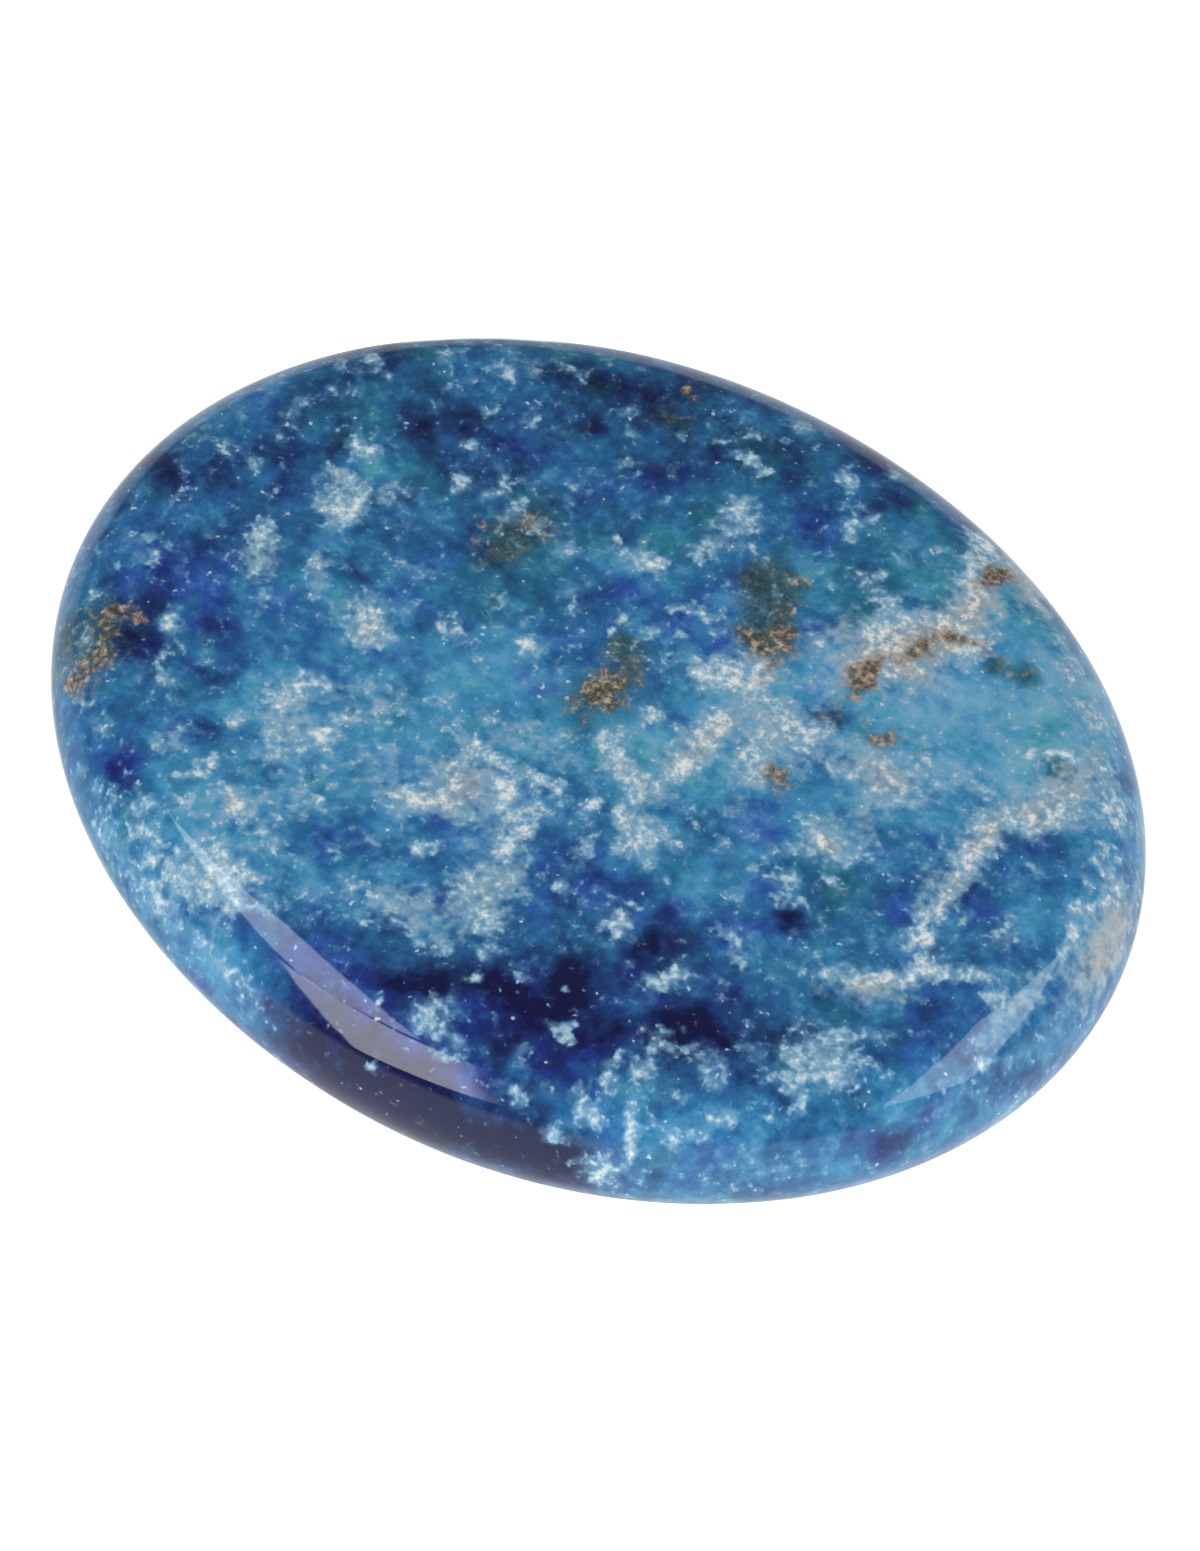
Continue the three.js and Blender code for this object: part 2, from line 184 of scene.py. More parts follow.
# White calcite in clumps: amount, where 1 is a solid middle and 0.4 a scatter of crumbs
CLUMPS = [
    # Upper left
    (-11.9, 5.9, 0.6, 0.35, -35, 0.95), (-16.4, 4.8, 0.5, 0.35, 15, 0.9), (-10.5, 6.9, 0.25, 0.6, 15, 0.65),
    (-12.7, 7.7, 0.3, 0.2, 10, 0.8), (-11.5, 10.1, 0.2, 0.3, 15, 0.95), (-14.1, 12, 0.5, 0.25, -40, 0.75),
    (-14.8, 12, 0.2, 0.2, 0, 0.7), (-13.3, 12.6, 0.7, 0.4, 0, 0.5), (-12.2, 13.6, 0.5, 0.2, 10, 0.75),
    (-16.8, 11.1, 0.3, 0.6, 15, 0.55), (-18.9, 8.8, 0.8, 0.25, -20, 0.85), (-19.8, 8, 0.5, 0.25, -20, 0.55),
    (-13.2, 9.7, 0.15, 0.5, 0, 0.6), (-12, 11.2, 0.2, 0.3, 0, 0.6), (-8.1, 8.3, 0.2, 0.15, 30, 0.8),
    (-7.3, 8.9, 0.2, 0.2, 0, 0.7), (-7.6, 12.6, 0.5, 0.3, -20, 0.5), (-8.5, 13.5, 0.2, 0.3, 0, 0.6),
    (-8.9, 6, 0.4, 0.5, 20, 0.6), (-7.7, 5.9, 0.4, 0.5, 0, 0.6), (-20.1, 4.4, 0.4, 0.8, 0, 0.5),
    (-19.3, 6.4, 0.4, 0.3, 0, 0.4),
    # Upper middle
    (-2.7, 7.4, 0.5, 0.4, 20, 1), (-3, 6.7, 0.3, 0.2, 0, 0.8), (-3.8, 6.9, 0.7, 0.35, 10, 0.5),
    (-4.5, 7.4, 0.25, 0.2, 0, 0.7), (-1.2, 11.8, 0.6, 0.45, 0, 0.8), (-0.5, 11.3, 0.25, 0.3, -40, 1),
    (-1.5, 9.9, 0.3, 0.7, -30, 0.5), (-1.5, 8.9, 0.25, 0.2, 0, 0.85), (2.9, 14.3, 0.25, 0.3, 0, 1),
    (3.3, 14, 0.25, 0.2, 0, 0.9), (3.2, 15.2, 0.3, 0.25, 0, 0.8), (-2.4, 17.6, 0.5, 0.3, 0, 0.85),
    (-1, 16.9, 0.15, 0.15, 0, 0.95), (0, 15.1, 0.2, 0.15, 0, 0.8), (-4.5, 14.4, 0.2, 0.2, 0, 0.85),
    (-2.9, 14.5, 0.4, 0.2, 0, 0.85), (-2, 14.3, 0.2, 0.15, 0, 0.85), (-6.2, 13.9, 0.15, 0.2, 30, 0.8),
    (-5.7, 5.9, 0.3, 0.3, 0, 0.85), (6.5, 12.2, 0.3, 0.2, 0, 0.75), (5.6, 12, 0.4, 0.3, 0, 0.55),
    (5.3, 13, 0.2, 0.2, 0, 0.75), (4.6, 12.5, 0.3, 0.2, 0, 0.65), (6.2, 11.7, 0.3, 0.2, 30, 0.6),
    (5.6, 8.3, 0.2, 0.35, 30, 0.85), (0.7, 16.3, 0.3, 0.3, 0, 0.65), (1.4, 15.9, 0.5, 0.2, -40, 0.55),
    (2.4, 18.2, 0.3, 0.5, 20, 0.7), (7.2, 17.7, 0.4, 0.7, 30, 0.6), (-7.1, 11.1, 0.2, 0.25, 0, 0.65),
    (-6.1, 10.8, 0.15, 0.3, 0, 0.65), (-6.2, 9.7, 0.1, 0.2, 0, 0.75), (-0.5, 4.3, 0.3, 0.2, -30, 0.75),
    (0.6, 5.3, 0.2, 0.1, -30, 0.8), (0.4, 10.6, 0.3, 0.15, 0, 0.75), (-3.8, 15.6, 0.3, 0.15, 30, 0.65),
    (-2.3, 16.3, 0.3, 0.15, 20, 0.6),
    # Upper right
    (10, 17, 0.9, 0.5, -30, 0.6), (11.2, 16.6, 0.6, 0.3, -30, 0.6), (14.4, 14.2, 0.4, 0.8, 20, 0.6),
    (13.2, 15.5, 0.3, 0.3, 0, 0.5), (16.7, 12.8, 0.4, 0.5, 0, 0.7), (15.4, 12.8, 0.3, 0.4, 0, 0.45),
    (18.6, 11, 0.4, 0.6, 20, 0.75), (16.9, 10.1, 0.4, 0.2, 30, 0.75), (17.6, 10.4, 0.4, 0.3, 0, 0.55),
    (20.2, 9.3, 0.6, 0.8, 0, 0.75), (19.9, 10.1, 0.3, 0.3, 0, 0.7), (18.5, 8.9, 0.6, 0.6, 0, 0.55),
    (18.4, 7.8, 0.6, 0.5, 0, 0.7), (7.4, 10.4, 0.5, 0.6, 0, 0.8), (8, 9.9, 0.8, 0.4, 0, 0.8),
    (8.4, 11.5, 0.4, 0.4, 0, 0.7), (9.6, 9.8, 0.5, 0.3, 0, 0.6), (9.1, 12.7, 0.4, 0.4, 0, 0.8),
    (10.6, 11.9, 0.5, 0.3, 20, 0.8), (10.7, 13, 0.4, 0.2, 30, 0.7), (9.1, 14.6, 0.4, 0.5, 20, 0.7),
    (7.6, 8.9, 0.25, 0.5, 0, 0.7), (9, 8.9, 0.3, 0.4, 0, 0.6), (8.4, 16.6, 0.35, 0.5, 0, 0.7),
    (16.3, 9.1, 0.5, 0.3, 0, 0.55), (15.1, 6.6, 0.6, 0.3, -10, 0.75), (14.2, 5.4, 0.2, 0.2, 0, 0.6),
    (12.8, 5.8, 0.4, 0.4, 0, 0.55), (12.5, 6.5, 0.2, 0.3, 0, 0.5), (21.2, 7, 0.3, 0.5, 0, 0.6),
    (21.9, 6.9, 0.3, 0.4, 30, 0.65), (21.4, 8.1, 0.4, 0.3, 0, 0.55), (22.7, 6.2, 0.25, 0.8, 15, 0.7),
    # Left
    (-14.9, 1.3, 0.8, 0.4, 0, 0.9), (-14.6, 2.1, 0.35, 0.35, 0, 0.85), (-15.5, 2.3, 0.5, 0.6, 0, 0.5),
    (-15.8, 2.9, 0.3, 0.2, 0, 0.6), (-13.9, 2.9, 0.2, 0.2, 0, 0.85), (-14.1, 3.7, 0.4, 0.3, 0, 0.5),
    (-16.8, 2.7, 0.25, 0.2, 0, 0.75), (-17.1, -1.3, 0.4, 0.3, 0, 0.95), (-16.8, -1.7, 0.3, 0.25, 0, 0.85),
    (-17.8, 0.3, 0.2, 0.4, 15, 0.7), (-10.2, -2.6, 0.9, 0.7, -50, 0.85), (-9.8, -3.3, 0.4, 0.3, 0, 0.85),
    (-9, -2.4, 0.15, 0.2, 0, 1), (-10.6, 0.8, 0.45, 0.15, 10, 0.8), (-16.9, -7.7, 0.25, 0.45, 30, 1),
    (-10.2, -7, 0.4, 0.5, -20, 0.95), (-9.6, -6.3, 0.3, 0.2, 0, 0.7), (-7.7, -7, 0.4, 0.3, 0, 0.85),
    (-11.1, -8.1, 0.35, 0.35, 0, 0.6), (-10.1, -8.2, 0.3, 0.3, 0, 0.65), (-9.2, -10.2, 0.6, 0.3, -30, 0.75),
    (-11.6, -10.2, 0.45, 0.3, -35, 0.85), (-12.4, -9.5, 0.25, 0.2, 0, 0.75),
    (-13.2, -9.2, 0.25, 0.12, 30, 0.75), (-20.8, -8.4, 0.2, 0.3, 30, 0.85),
    (-19.4, -10.3, 0.3, 0.4, 30, 0.65), (-14.2, -8.2, 0.3, 0.2, 0, 0.5), (-18.1, -12.3, 0.3, 0.2, 0, 0.75),
    (-17.3, -12.7, 0.3, 0.15, 0, 0.75), (-20.6, -4.6, 0.2, 0.2, 0, 0.7), (-19.7, -4.5, 0.2, 0.2, 0, 0.75),
    (-20.9, -2.3, 0.2, 0.25, 0, 0.7), (-21.1, 0.9, 0.3, 0.2, 0, 0.6), (-22.6, 0.8, 0.4, 0.2, 0, 0.6),
    (-19.4, 1.2, 0.25, 0.15, 0, 0.7), (-18.5, 1.7, 0.2, 0.15, 0, 0.6), (-19.7, 2.9, 0.3, 0.2, -30, 0.65),
    (-21.8, 2.7, 0.2, 0.15, 0, 0.65), (-19.9, -5.4, 0.4, 0.3, 0, 0.5), (-14.2, -1.5, 0.15, 0.15, 0, 0.85),
    # Middle
    (-3.9, 0.6, 0.4, 0.3, -10, 1), (3.1, 4.2, 0.8, 0.45, 15, 1), (4.4, 5.6, 0.5, 0.4, 50, 0.8),
    (6.1, 4.6, 0.5, 0.3, 0, 0.5), (7.6, 3.6, 0.5, 0.6, 0, 0.5), (7, 2, 0.4, 0.9, 40, 0.6),
    (-1, -7.9, 0.8, 0.4, 0, 0.5), (1.2, -6.4, 0.5, 0.4, -45, 0.6), (5.8, -4.2, 0.7, 0.4, -25, 0.5),
    (-4.5, 0.5, 0.3, 0.15, 0, 0.6), (-6.3, 1.3, 0.1, 0.35, 0, 0.85), (-6.9, -0.7, 0.5, 0.35, -20, 0.7),
    (-7.8, -0.8, 0.4, 0.3, 0, 0.45), (-5.2, -1.5, 0.2, 0.15, 0, 0.7), (-4.6, -1.6, 0.15, 0.1, 0, 0.6),
    (2.3, 0.8, 0.4, 0.35, 0, 0.9), (-4.4, 3.9, 0.35, 0.3, 0, 0.7), (-3.9, 3.6, 0.15, 0.15, 0, 0.8),
    (-4, 3.1, 0.3, 0.15, 0, 0.55), (-1.7, 4, 0.15, 0.2, 20, 0.8), (-2.5, 1.5, 0.15, 0.12, 0, 0.75),
    (-1.7, 3.1, 0.15, 0.2, 0, 0.7), (-2.8, 2.7, 0.4, 0.15, 0, 0.5), (0.7, -4.7, 0.35, 0.2, 20, 0.8),
    (1.4, -4.5, 0.3, 0.2, 0, 0.9), (3.1, -4.3, 0.2, 0.25, 40, 0.75), (8, -5.5, 0.2, 0.15, 0, 0.75),
    (-5.5, -4.2, 0.25, 0.15, 30, 0.8), (-4.7, -4, 0.25, 0.25, 0, 0.8), (-2.9, -3.5, 0.25, 0.3, 0, 0.7),
    (-1.9, -2.9, 0.35, 0.15, 20, 0.45), (-3.9, -4.8, 0.6, 0.2, 10, 0.55), (1.4, -5.9, 0.35, 0.25, -20, 0.9),
    (8.7, -2.3, 0.3, 0.2, 0, 0.75), (7.1, -2.4, 0.15, 0.15, 0, 0.8), (7.4, -3.8, 0.25, 0.15, -30, 0.75),
    (7.8, -1.4, 0.2, 0.15, 30, 0.8), (4.2, -6.4, 0.4, 0.6, 20, 0.5), (0.6, -2.9, 0.6, 0.3, 0, 0.4),
    (7.8, 4.5, 0.5, 0.4, 0, 0.6), (-7.3, -5.3, 1.2, 0.5, -20, 0.45), (-6.5, -6.4, 0.6, 0.3, 0, 0.4),
    # Right
    (11.4, 4.8, 1, 0.5, 0, 0.6), (12.4, 4.2, 0.6, 0.5, 0, 0.6), (11.6, 3.6, 0.6, 0.3, 0, 0.45),
    (13.6, 4.1, 0.5, 0.3, 0, 0.5), (10.3, 3.5, 0.35, 0.15, 15, 0.85), (14.2, 2.6, 0.2, 0.2, 0, 0.6),
    (13.2, 0.7, 0.3, 0.5, 30, 0.55), (11.9, 0.1, 0.7, 0.3, -15, 0.9), (12.3, 0.9, 0.4, 0.3, 0, 0.7),
    (11.5, -0.8, 0.4, 0.3, 30, 0.65), (11.8, -2.5, 0.55, 0.45, 0, 0.85), (10.7, -2.8, 0.15, 0.12, 0, 0.8),
    (12.8, -3, 0.45, 0.12, 20, 0.75), (10.6, -4.4, 0.3, 0.15, 40, 0.65), (13.3, -1.3, 0.2, 0.12, 15, 0.8),
    (18.5, -8.3, 0.95, 0.8, -20, 0.75), (19.4, -8.7, 0.4, 0.3, 0, 0.85), (17.4, -8.9, 0.6, 0.4, 0, 0.75),
    (18.1, -9.7, 0.4, 0.5, 0, 0.7), (18.2, -7.3, 0.4, 0.3, 0, 0.7), (11.1, -9.1, 0.35, 0.45, -20, 1),
    (10.7, -9.6, 0.45, 0.2, 10, 0.95), (7.6, -8.2, 0.3, 0.4, 15, 1), (8, -7.2, 0.25, 0.12, 10, 0.9),
    (20.4, 1.2, 0.4, 0.5, 0, 0.55), (20.9, -1.3, 0.25, 0.2, -30, 0.75), (22.1, -1.6, 0.3, 0.4, -30, 0.75),
    (20.4, -5.2, 0.3, 0.15, 0, 0.65), (19.6, -5.9, 0.3, 0.2, 30, 0.65), (20.2, -7.3, 0.4, 0.2, 0, 0.6),
    (14.4, -6.5, 0.35, 0.15, 0, 0.6), (16, -6.4, 0.2, 0.15, 0, 0.6), (12.9, -8.1, 0.5, 0.2, -20, 0.5),
    (19.6, 4.5, 0.3, 0.2, 0, 0.6), (18.5, 2.7, 0.3, 0.2, 20, 0.55), (23.3, -4.2, 0.3, 0.4, 0, 0.75),
    (24, -3, 0.2, 0.5, 0, 0.65), (21.4, -3, 0.15, 0.2, 0, 0.55),
    # Front
    (-8.7, -13.3, 0.6, 0.4, -5, 1), (-10.4, -14.4, 0.35, 0.2, 0, 0.75), (-6.7, -13.9, 0.35, 0.3, 0, 0.7),
    (-5.8, -13.9, 0.2, 0.2, 0, 0.6), (-3.9, -12.8, 0.15, 0.1, -30, 0.85), (-4.6, -12.5, 0.3, 0.15, 0, 0.5),
    (-0.5, -9.9, 0.2, 0.2, 0, 1), (-1.2, -10.6, 0.2, 0.2, 0, 0.95), (-0.2, -13.1, 0.6, 0.3, 25, 0.6),
    (-1.2, -13.5, 0.5, 0.3, 0, 0.5), (-2, -13.9, 0.2, 0.4, 0, 0.6), (-0.7, -14.7, 0.25, 0.12, -10, 1),
    (-8, -8.5, 0.3, 0.25, 0, 0.65), (-6, -10.8, 0.15, 0.15, 0, 0.7), (-6.8, -9.7, 0.25, 0.1, 0, 0.7),
    (-6.3, -11.6, 0.5, 0.4, 0, 0.4), (-7.3, -16.4, 0.9, 0.6, 0, 0.8), (-5.9, -17, 0.7, 0.4, 0, 0.7),
    (-7.6, -17.5, 1, 0.5, 0, 0.7), (-8.8, -18.2, 0.7, 0.4, -10, 0.8), (-5.9, -18.8, 0.5, 0.3, 0, 0.7),
    (-4.3, -19.1, 0.4, 0.25, 0, 0.75), (-15.8, -13.4, 0.6, 0.4, 0, 0.55), (-6.3, -15.7, 0.3, 0.2, 0, 0.65),
    (-5.6, -15.8, 0.2, 0.2, 0, 0.75), (-11.2, -16.4, 0.5, 0.4, 0, 0.55), (-14, -15.6, 0.9, 0.4, -25, 0.5),
    (-13, -16.7, 0.9, 0.4, -20, 0.45), (-10.8, -17.8, 0.8, 0.4, -15, 0.5), (-8.2, -15.2, 0.8, 0.3, 0, 0.45),
    (-3, -19.4, 0.7, 0.3, 0, 0.5), (-12, -15.6, 0.5, 0.4, 0, 0.5), (-9.5, -17, 1, 0.5, -15, 0.5),
    (3.5, -11.7, 0.4, 0.3, 20, 1), (1.3, -10.5, 0.4, 0.4, 0, 0.75), (2.4, -10.2, 0.3, 0.3, 0, 0.65),
    (3.1, -9.3, 0.3, 0.3, 0, 0.65), (1.7, -8.6, 0.3, 0.3, 0, 0.65), (1.9, -11.3, 0.6, 0.4, 0, 0.5),
    (1.3, -14.3, 0.2, 0.12, 0, 1), (2.1, -14.2, 0.2, 0.15, 0, 1), (0.6, -13.9, 0.6, 0.3, 0, 0.45),
    (2.9, -13.7, 0.25, 0.2, 0, 0.65), (4.5, -12.8, 0.2, 0.3, 20, 0.75), (4.8, -14, 0.2, 0.25, 0, 0.85),
    (6.3, -12.8, 0.25, 0.12, -10, 0.8), (8.1, -12.2, 0.13, 0.13, 0, 1.1), (9.2, -13.9, 0.5, 0.25, 5, 1),
    (9.3, -13.5, 0.2, 0.35, 0, 0.8), (4.7, -8.5, 0.35, 0.2, 20, 0.8), (12.5, -11.3, 0.25, 0.15, 20, 0.95),
    (13, -10.6, 0.12, 0.12, 0, 0.8), (13.5, -11.7, 0.8, 0.3, 15, 0.5), (14.9, -11.4, 0.6, 0.25, 0, 0.6),
    (13.1, -13.4, 0.4, 0.3, 0, 0.9), (14.6, -13.5, 0.3, 0.3, 0, 0.7), (12.6, -12.4, 0.2, 0.3, 0, 0.65),
    (12, -16, 0.4, 0.3, 0, 0.9), (14, -16.5, 0.6, 0.3, 30, 0.8), (11.3, -15.5, 0.25, 0.2, 0, 0.65),
    (16.7, -12.8, 0.5, 0.4, 0, 0.65), (15.8, -12, 0.4, 0.3, 0, 0.65), (16.5, -13.9, 0.5, 0.3, 0, 0.45),
    (15.4, -14.6, 0.5, 0.3, 30, 0.45), (8.6, -15.5, 0.2, 0.3, 30, 0.65), (4.4, -16.7, 0.5, 0.6, 0, 0.85),
    (5.8, -17.5, 0.3, 0.2, 0, 0.8), (6.3, -16.9, 0.4, 0.2, 0, 0.6), (3.8, -15.6, 0.15, 0.12, 0, 0.85),
    (3, -17.4, 0.12, 0.12, 0, 0.85), (2.2, -17.2, 0.15, 0.12, 0, 0.8), (3.6, -19.2, 0.2, 0.22, 0, 1),
    (11.5, -17.2, 0.5, 0.25, 20, 0.85), (9.5, -17.1, 0.4, 0.25, 10, 0.65),
    (10.4, -16.1, 0.2, 0.12, 20, 0.7), (8.2, -17.3, 0.4, 0.2, 0, 0.5), (13.4, -17, 0.8, 0.4, 25, 0.75),
]

# White calcite in veins: the points that a vein runs through, its half width and its amount
VEINS = [
    ([(1.9, -1.5), (2.7, -2), (3.5, -2.2), (4.3, -1.9), (4.8, -1.1), (5, 0.2), (5, 1.2), (4.9, 2.3)],
     0.42, 0.85),
    ([(3, 4.1), (3.6, 4.6), (4.2, 4.9), (4.6, 5.5)], 0.35, 0.9),
    ([(4.3, 4.3), (5.8, 4.2), (7, 4.1), (8, 3.9), (8.2, 3.1)], 0.55, 0.6),
    ([(6.6, 2.1), (7.1, 1.4), (7.8, 0.8)], 0.25, 0.8),
    ([(4.3, -2.7), (4.4, -3.7), (5, -4.4), (5.8, -4.9), (6.9, -5.2)], 0.3, 0.85),
    ([(5.7, -3.8), (6.2, -4.3), (5.9, -4.9)], 0.25, 0.8),
    ([(-3.4, -9.1), (-2.6, -8.7), (-1.9, -8.1)], 0.35, 0.8),
    ([(-2.4, -5.3), (-2.4, -6.4), (-2.2, -7.4), (-1.3, -7.2), (-0.6, -6.2), (-0.3, -5.8)], 0.45, 0.75),
    ([(0.1, -6.1), (1, -6.7), (1.5, -7.2), (1.9, -7.9)], 0.28, 0.8),
    ([(-2.8, -4.7), (-1.6, -4.9), (-0.8, -4.8)], 0.18, 0.85),
    ([(2, -8.2), (1.8, -8.9), (2.2, -9.8), (2.8, -10.5), (3.2, -11.3)], 0.6, 0.55),
    ([(7.3, 17.6), (7.9, 16.4), (8.3, 15.4), (8.9, 14.8), (9.4, 14.1), (9.6, 13.4), (9.7, 12.7)],
     0.42, 0.85),
    ([(7.3, 11.4), (7.8, 10.6), (7.7, 9.6), (8.6, 10.2), (8.9, 9.4)], 0.5, 0.75),
    ([(9, 11.9), (9.9, 11.6), (10.6, 11.9), (11, 12.5)], 0.35, 0.8),
    ([(18.6, 7.4), (18, 6.5), (17.2, 5.9), (16.8, 5.2), (17.1, 4.4), (17.1, 3.4)], 0.48, 0.85),
    ([(17.1, 3.3), (17.3, 2.3), (17.5, 1.3), (17.5, 0.3), (17.7, -0.7), (18.2, -1.2)], 0.38, 0.85),
    ([(21.4, -0.9), (19.9, -1.8), (19.1, -2.5), (18.6, -3.4), (17.6, -4.2), (16.6, -4.7), (15.5, -5.3)],
     0.3, 0.85),
    ([(-11.6, -13.6), (-11.1, -13.3), (-10.8, -12.7), (-10.9, -12.1)], 0.16, 1),
    ([(-12.6, -11.4), (-12.9, -12.2), (-13.1, -12.9)], 0.3, 0.5),
    ([(-16.6, -2.1), (-16.2, -2.7), (-15.8, -3.3)], 0.4, 0.5),
    ([(-14.6, -3.9), (-14.3, -4.6), (-14.1, -5.2)], 0.15, 0.7),
    ([(-10.3, -8), (-9.8, -8.6), (-9.3, -9.3), (-8.5, -9.3), (-8, -8.7)], 0.35, 0.5),
    ([(-16, -9.2), (-15.3, -10)], 0.18, 0.8),
    ([(-14.2, -0.5), (-13.7, -1.8), (-13, -2.5)], 0.3, 0.45),
    ([(-0.3, 5.9), (-0.2, 6.3), (0.5, 6.6), (1.3, 6.4), (1.8, 6)], 0.2, 0.6),
    ([(11.2, -6), (12.2, -6.3), (13.3, -6.9)], 0.15, 0.6),
    ([(13.6, -15), (14.3, -15.8)], 0.2, 0.9),
    ([(22.6, 6.6), (22.6, 5.6), (22, 4.4), (22.2, 3.6), (22.7, 3), (22.9, 1.8)], 0.2, 0.7),
    ([(12.3, -14.8), (11.9, -14.1), (11.8, -13.6)], 0.2, 0.8),
]

# Milky haze under the polish: amount
HAZES = [
    (5.9, 9.6, 1.2, 1.2, 0, 0.5), (3.5, 4.6, 1.3, 0.9, 20, 0.6), (18, 6.8, 0.9, 0.8, -40, 0.8),
    (22.9, -1.5, 0.8, 2.2, 0, 0.5), (14.6, 6.4, 1.2, 0.8, 0, 0.4), (4.9, 0.2, 0.8, 2.3, 0, 0.75),
    (6.9, 3.9, 2, 1.2, 0, 0.65), (11.6, 4.4, 2.1, 1.1, 0, 0.85), (-1.6, -6.8, 1.5, 1.4, 0, 0.9),
    (-5.6, -7.9, 1.6, 0.5, 20, 0.35), (-5.2, -9.1, 1.2, 0.7, 0, 0.35), (2.4, -10.2, 1.3, 2, 0, 0.7),
    (-1, 11, 0.8, 1.2, 0, 0.35), (8.8, 10.6, 1.5, 2.1, -20, 1), (9.5, 14, 1, 2, 10, 1),
    (10.2, 16.9, 1.6, 0.9, -30, 1), (9.9, 9.6, 1.6, 0.4, 0, 0.55), (18.3, 8.8, 1, 1.6, 0, 0.85),
    (16.7, 12.8, 0.6, 0.7, 0, 0.6), (14.5, 14, 0.6, 1.2, 20, 0.5), (17.1, 4.6, 0.65, 1.6, 0, 0.9),
    (12, 0.2, 1, 0.7, 0, 0.85), (12.6, 2, 1, 0.9, 0, 0.55), (16.1, 1.8, 0.6, 0.6, 0, 0.45),
    (17.9, -4.4, 0.8, 1.7, -50, 0.85), (23.6, 4.6, 1.3, 2.9, 10, 1.1), (-10, -2.9, 1, 0.8, -30, 0.75),
    (-14.9, 1.6, 0.8, 0.7, 0, 0.6), (-9.4, -8.8, 1.2, 1.6, 0, 0.6), (-16.1, -2.8, 0.7, 1.1, 30, 0.6),
    (-7.3, -16.8, 1.8, 1.3, 0, 0.65), (18.5, -8.5, 1.3, 1, 0, 0.55), (-12.9, -12.5, 0.6, 0.8, 0, 0.35),
    (-2.8, 7.3, 1.2, 0.7, 0, 0.4), (8, -1, 0.8, 1.2, 0, 0.3), (-0.3, -13.2, 1.3, 0.6, 20, 0.35),
    (13, -12, 1.8, 0.7, 15, 0.3), (-20.2, 4.4, 0.5, 0.9, 0, 0.3), (3.2, -2, 1.3, 0.5, -10, 0.7),
    (5.1, 2, 0.5, 1.1, 0, 0.6), (7.4, 1.6, 0.9, 1.6, 30, 0.55), (-1, -3.3, 2.2, 1, 0, 0.4),
    (5.6, -4.3, 1.2, 0.9, -20, 0.5), (-2.6, -8.6, 1.4, 0.5, 25, 0.7), (1, -7, 0.8, 0.7, -45, 0.25),
    (1.2, -13, 1.6, 0.9, 0, 0.45), (-8.7, -13.3, 0.8, 0.6, 0, 0.8), (-6.5, -11.5, 1.6, 1.2, 0, 0.35),
    (-7.5, -5.5, 2, 1, -15, 0.35), (-15.8, 2.9, 0.8, 0.6, 0, 0.5), (-14.1, 3.6, 0.5, 0.6, 0, 0.5),
    (18.2, 10.9, 1, 0.8, 0, 0.6), (17.5, 1.2, 0.5, 1.7, 0, 0.8), (4.3, 7.2, 1.4, 0.9, 0, 0.5),
    (7.9, 8.6, 1.1, 1.7, 0, 0.85), (-13.5, -1.7, 1, 0.5, -50, 0.6),
]

# Pyrite and the brown that it leaves: amount
PYRITE = [
    (0.05, 0.6, 0.95, 0.6, 95, 1), (8.2, 8, 1.1, 0.42, 95, 1), (9.2, 10.8, 0.7, 0.4, 70, 0.9),
    (10.1, 12.3, 0.8, 0.3, 15, 0.9), (9.2, 16.2, 0.8, 0.5, 70, 0.95), (4.2, 7.6, 0.55, 0.5, 0, 1),
    (3.4, 6.6, 0.8, 0.38, -10, 0.95), (4.6, 5.7, 0.3, 0.3, 0, 0.6), (-7.3, 16, 0.35, 0.3, 0, 0.9),
    (-7.9, 5.8, 0.8, 0.7, 0, 0.55), (-9.3, 4.6, 0.4, 0.2, 20, 0.6), (-8.8, 3.3, 0.5, 0.4, 0, 0.35),
    (-19.3, -8.6, 0.5, 0.35, 30, 0.8), (-18.1, -8.3, 0.5, 0.25, 25, 0.6), (-19, -9.5, 0.6, 0.3, 10, 0.7),
    (-18.4, -11, 0.7, 0.7, 0, 0.75), (-18.8, -12, 0.8, 0.4, -20, 0.7), (10.7, 5.9, 0.6, 0.4, 0, 0.8),
    (8.3, 1.6, 0.6, 0.45, 0, 0.65), (8.2, 5.4, 0.4, 0.3, 0, 0.35), (12.3, 12.2, 0.8, 0.25, -25, 0.22),
    (13.5, 12.6, 0.4, 0.35, 0, 0.25), (3, 10.4, 0.5, 0.3, 0, 0.5), (3.4, 8.9, 0.3, 0.6, 0, 0.45),
    (-0.4, 2.9, 0.5, 0.5, 0, 0.3), (-13.4, 12.8, 0.6, 0.3, 0, 0.35), (-6.4, 14.8, 0.7, 0.2, 40, 0.4),
    (10.4, 9.5, 0.8, 0.2, 0, 0.3), (5.4, 6.2, 0.2, 0.8, 0, 0.3),
]

